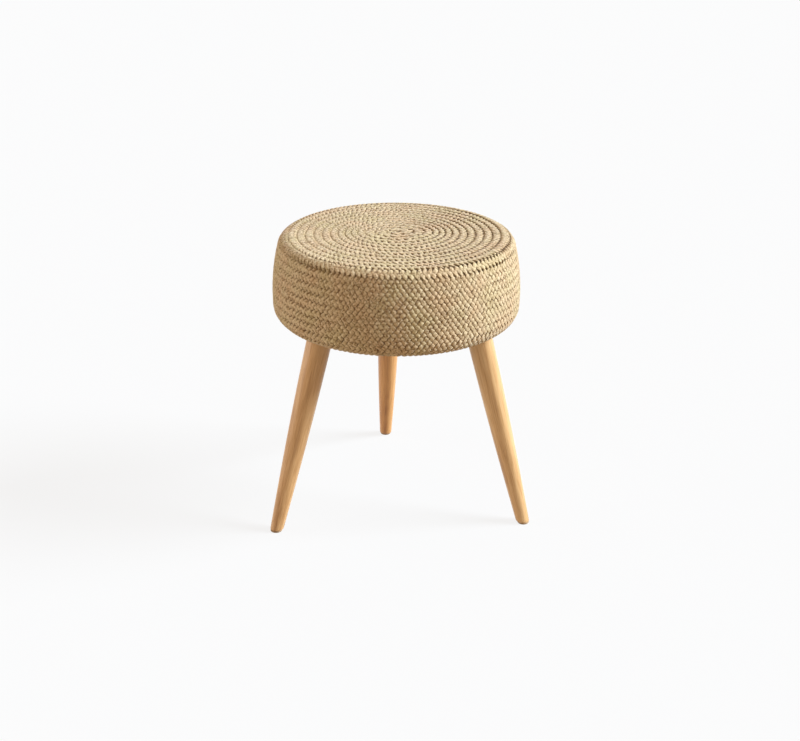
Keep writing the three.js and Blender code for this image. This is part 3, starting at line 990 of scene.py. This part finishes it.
# %% [markdown]
# ## Turned legs
# Each leg is turned on a lathe: slender at the foot, thick at the top, with a slight swell
# between. The solid has a few flat sides, so the dressed leg repeats its formula with many more.
# The leg is made upright first and then leaned into place, and each point keeps its upright
# position, so that the grain runs along the leg. Its foot is cut level with the floor, and its
# edges are softened.

# %% Sizes of the legs
LEG_TOP_RADIUS = 19.7 * MM
LEG_FOOT_RADIUS = 10.3 * MM
LEG_SWELL = 1.5 * MM
LEG_INSET = 56.5 * MM
LEG_SPREAD = 90.5 * MM
GLIDE_THICKNESS = 3 * MM
PLATE_THICKNESS = 2.5 * MM
PLATE_BOSS_LIP = 1 * MM
TOUCH_GAP = 0.3 * MM
EDGE_ROUNDING = 1.2 * MM
EDGE_STEPS = 4
LEG_SIDES = 64
LEG_RINGS = 60

top_circle = seat_radius - LEG_INSET
foot_circle = top_circle + LEG_SPREAD
plate_floor = dust_low.z - TOUCH_GAP - PLATE_THICKNESS
splay = math.atan(LEG_SPREAD / plate_floor)
leg_top_drop = LEG_TOP_RADIUS * math.sin(splay) + TOUCH_GAP + PLATE_BOSS_LIP
leg_length = (plate_floor - leg_top_drop) / math.cos(splay)
print(f"legs: {leg_length:.3f} m long, leaning {math.degrees(splay):.1f} degrees")


# %% Shape of the upright leg
def leg_grid():
    """Rings of the upright leg, from its level foot to its square top."""
    turn = np.arange(LEG_SIDES)[None, :] / LEG_SIDES * FULL_TURN
    share = np.linspace(0, 1, LEG_RINGS)[:, None]
    radius = (LEG_FOOT_RADIUS + (LEG_TOP_RADIUS - LEG_FOOT_RADIUS) * share
              + LEG_SWELL * np.sin(math.pi * share))
    bend = np.linspace(0, math.pi / 2, EDGE_STEPS)[:, None]
    inset = EDGE_ROUNDING * (1 - np.sin(bend))
    lift = EDGE_ROUNDING * (1 - np.cos(bend))
    foot_radius = radius[0] - inset
    foot_level = GLIDE_THICKNESS + TOUCH_GAP + lift
    foot_along = (foot_level - foot_radius * np.cos(turn) * math.sin(splay)) / math.cos(splay)
    start = foot_along[-1:]
    shaft_along = start + (leg_length - EDGE_ROUNDING - start) * share[1:]
    top_radius = (radius[-1] - inset)[::-1]
    top_along = (leg_length - lift)[::-1] * np.ones_like(turn)
    radii = np.concatenate([foot_radius, radius[1:], top_radius[1:]]) * np.ones_like(turn)
    along = np.concatenate([foot_along, shaft_along, top_along[1:]])
    return np.stack([radii * np.cos(turn), radii * np.sin(turn), along], axis=-1)


# %% Places of the legs
def placed(points, matrix):
    """An array of points moved by a matrix."""
    moved = np.array(matrix)
    return points @ moved[:3, :3].T + moved[:3, 3]


def leg_place(number):
    """Where an upright leg goes: leaned, moved out from the axis and turned to its side."""
    turn = Matrix.Rotation(math.pi / 2 + (number - 1) / LEG_COUNT * FULL_TURN, 4, "Z")
    lean = Matrix.Rotation(-splay, 4, "Y")
    return Matrix.Translation(seat_axis) @ turn @ Matrix.Translation((foot_circle, 0, 0)) @ lean


print(f"the feet stand on a circle of {foot_circle:.3f} m radius")

# %% [markdown]
# ## Lacquered wood
# The wood is pale and close-grained, with a figure of long soft streaks, short dark pores and a
# thin satin lacquer. Both noises are stretched along the upright leg's kept places. Each leg
# reads them from another place and has a tint of its own: the back leg's redder tint is painted
# shade, a warmer colour for the shade it stands in, and the left leg is a little warmer than the
# right.

# %% Wood and the three legs
WOOD_LIGHT = (0.86, 0.57, 0.28)
WOOD_MIDDLE = (0.72, 0.43, 0.18)
WOOD_DARK = (0.48, 0.24, 0.08)
FIGURE_STRETCH = (110, 110, 7)
FIGURE_STOPS = [(0.34, WOOD_DARK), (0.47, WOOD_MIDDLE), (0.62, WOOD_LIGHT)]
PORE_STRETCH = (700, 700, 22)
PORE_STOPS = [(0.36, WOOD_DARK), (0.54, WOOD_LIGHT)]
PORE_SHARE = 0.32
PORE_RELIEF = 0.15 * MM
LEG_GRAIN_STEP = 0.7
# The back leg's tint is painted shade, a warmer and redder colour for the shade it stands in; the
# left leg is a little warmer.
LEG_TONES_AND_PAINTED_SHADE = ((0.93, 0.76, 0.55), (0.97, 0.93, 0.90), NO_TINT)

wood, add = start_material("lacquered_wood")
place = kept(add, "grain", "Vector")
figure = noise(add, stretched(add, place, FIGURE_STRETCH), scale=1.0, detail=4.0, roughness=0.6)
pores = noise(add, stretched(add, place, PORE_STRETCH), scale=1.0)
wood_color = mix_colors(add, "MIX", PORE_SHARE, ramp(add, figure, FIGURE_STOPS),
                        ramp(add, pores, PORE_STOPS))
# Multiplies in each leg's tint, which on the back leg is painted shade.
wood_color = mix_colors(add, "MULTIPLY", 1.0, wood_color, kept(add, "tint", "Vector"))
shade(add, wood_color, relief=(pores, 0.25, PORE_RELIEF), Roughness=0.42, Coat_Weight=0.25,
      Coat_Roughness=0.25)

upright_leg = leg_grid()
for number, tint in enumerate(LEG_TONES_AND_PAINTED_SHADE, 1):
    name = f"turned_leg_{number}"
    leg_shape = tube_mesh(name, placed(upright_leg, leg_place(number)))
    store(leg_shape, "grain", upright_leg + LEG_GRAIN_STEP * number, "FLOAT_VECTOR")
    # Keeps each leg's tint on its points; on the back leg it is painted shade.
    store(leg_shape, "tint", np.ones_like(upright_leg) * tint, "FLOAT_VECTOR")
    leg = add_piece(name, leg_shape, wood)
    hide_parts(f"leg_{number}")
print("legs:", LEG_COUNT)

# %% [markdown]
# ## Glides
# A disc of pressed felt under each foot keeps the floor safe. It is a short turned shape with a
# softened edge, and its nail goes up into the leg.

# %% Glides
GLIDE_INSET = 1.2 * MM
GLIDE_NAIL_RADIUS = 1.3 * MM
GLIDE_EDGE = 0.6 * MM
GLIDE_SIDES = 48
FELT_DARK = (0.36, 0.24, 0.14)
FELT_LIGHT = (0.60, 0.44, 0.28)
FELT_RELIEF = 0.3 * MM

felt, add = start_material("pressed_felt")
hairs = noise(add, place_of(add), scale=1600.0, detail=4.0, roughness=0.7)
shade(add, ramp(add, hairs, [(0.3, FELT_DARK), (0.7, FELT_LIGHT)]),
      relief=(hairs, 0.7, FELT_RELIEF), Roughness=0.95)

glide_radius = LEG_FOOT_RADIUS - GLIDE_INSET
for number in range(1, LEG_COUNT + 1):
    low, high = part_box(f"foot_glide_{number}")
    foot_centre = (low + high) / 2
    profile = [(0, 0), (glide_radius - GLIDE_EDGE, 0), (glide_radius, GLIDE_EDGE),
               (glide_radius, GLIDE_THICKNESS - GLIDE_EDGE),
               (glide_radius - GLIDE_EDGE, GLIDE_THICKNESS),
               (GLIDE_NAIL_RADIUS, GLIDE_THICKNESS),
               (GLIDE_NAIL_RADIUS, high.z - GLIDE_NAIL_RADIUS), (0, high.z)]
    name = f"felt_glide_{number}"
    glide_shape = turned_mesh(name, profile, GLIDE_SIDES, centre=foot_centre)
    glide = add_piece(name, glide_shape, felt, smooth=False)
    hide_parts(f"foot_glide_{number}")
print("glides:", LEG_COUNT)

# %% [markdown]
# ## Plates, bolts, screws and staples
# These solids already have the right shape, so they stay and only get a finish. Pressed steel is
# satin, with fine scratches along one direction, and zinc plating is brighter and a little
# yellow. The scratches change the colour, the roughness and the relief alike.

# %% Metal finishes
STEEL_LIGHT = (0.55, 0.56, 0.58)
STEEL_DARK = (0.36, 0.37, 0.39)
STEEL_ROUGHNESS = 0.38
STEEL_SCRATCHES_PER_METRE = 900
ZINC_LIGHT = (0.70, 0.69, 0.62)
ZINC_DARK = (0.52, 0.50, 0.42)
ZINC_ROUGHNESS = 0.3
ZINC_SCRATCHES_PER_METRE = 1500
SCRATCH_LENGTHENING = 10
SCRATCH_RELIEF = 0.05 * MM
SMOOTHER, ROUGHER = 0.1, 0.15


def metal_material(name, light, dark, roughness, scratches_per_metre):
    """Metal with fine scratches along one direction."""
    material, add = start_material(name)
    along = scratches_per_metre / SCRATCH_LENGTHENING
    scale = (scratches_per_metre, along, scratches_per_metre)
    scratches = noise(add, stretched(add, place_of(add), scale), scale=1.0, detail=4.0)
    color = mix_colors(add, "MIX", scratches, (*light, 1), (*dark, 1))
    rough = add("ShaderNodeMapRange", Value=scratches, To_Min=roughness - SMOOTHER,
                To_Max=roughness + ROUGHER).outputs[0]
    shade(add, color, relief=(scratches, 0.3, SCRATCH_RELIEF), Roughness=rough, Metallic=1.0)
    return material


# %% Dress the metal solids
def dress_node(name, material):
    """Gives a solid of the frame a finish, in place of its own."""
    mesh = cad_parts[name].data
    mesh.materials.clear()
    mesh.materials.append(material)


steel = metal_material("pressed_steel", STEEL_LIGHT, STEEL_DARK, STEEL_ROUGHNESS,
                       STEEL_SCRATCHES_PER_METRE)
zinc = metal_material("zinc_plating", ZINC_LIGHT, ZINC_DARK, ZINC_ROUGHNESS,
                      ZINC_SCRATCHES_PER_METRE)
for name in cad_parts:
    if name.startswith(("mounting_plate", "staple")):
        dress_node(name, steel)
    elif name.startswith(("hanger_bolt", "plate_")):
        dress_node(name, zinc)
print("metal:", steel.name, zinc.name)

# %% [markdown]
# ## The board
# Birch plywood is thin plies whose grain crosses, so its edge shows bands. A height that runs up
# and down again with each ply gives the bands, and a stretched noise gives the grain.

# %% Plywood
PLY_HEIGHT = 1.5 * MM
PLY_SHARE = 0.3
BIRCH_DARK = (0.50, 0.33, 0.17)
BIRCH_LIGHT = (0.72, 0.54, 0.33)
BIRCH_STRETCH = (12, 160, 160)

plywood, add = start_material("birch_plywood")
place = place_of(add)
level = add("ShaderNodeSeparateXYZ", Vector=place).outputs["Z"]
plies = spread_out(add, calculate(add, "PINGPONG", level, PLY_HEIGHT), 0, PLY_HEIGHT)
grain = noise(add, stretched(add, place, BIRCH_STRETCH), scale=1.0, detail=4.0)
color = ramp(add, grain, [(0.3, BIRCH_DARK), (0.7, BIRCH_LIGHT)])
shade(add, mix_colors(add, "MULTIPLY", PLY_SHARE, color, plies), Roughness=0.7)
dress_node("plywood_base", plywood)
print("board:", plywood.name)
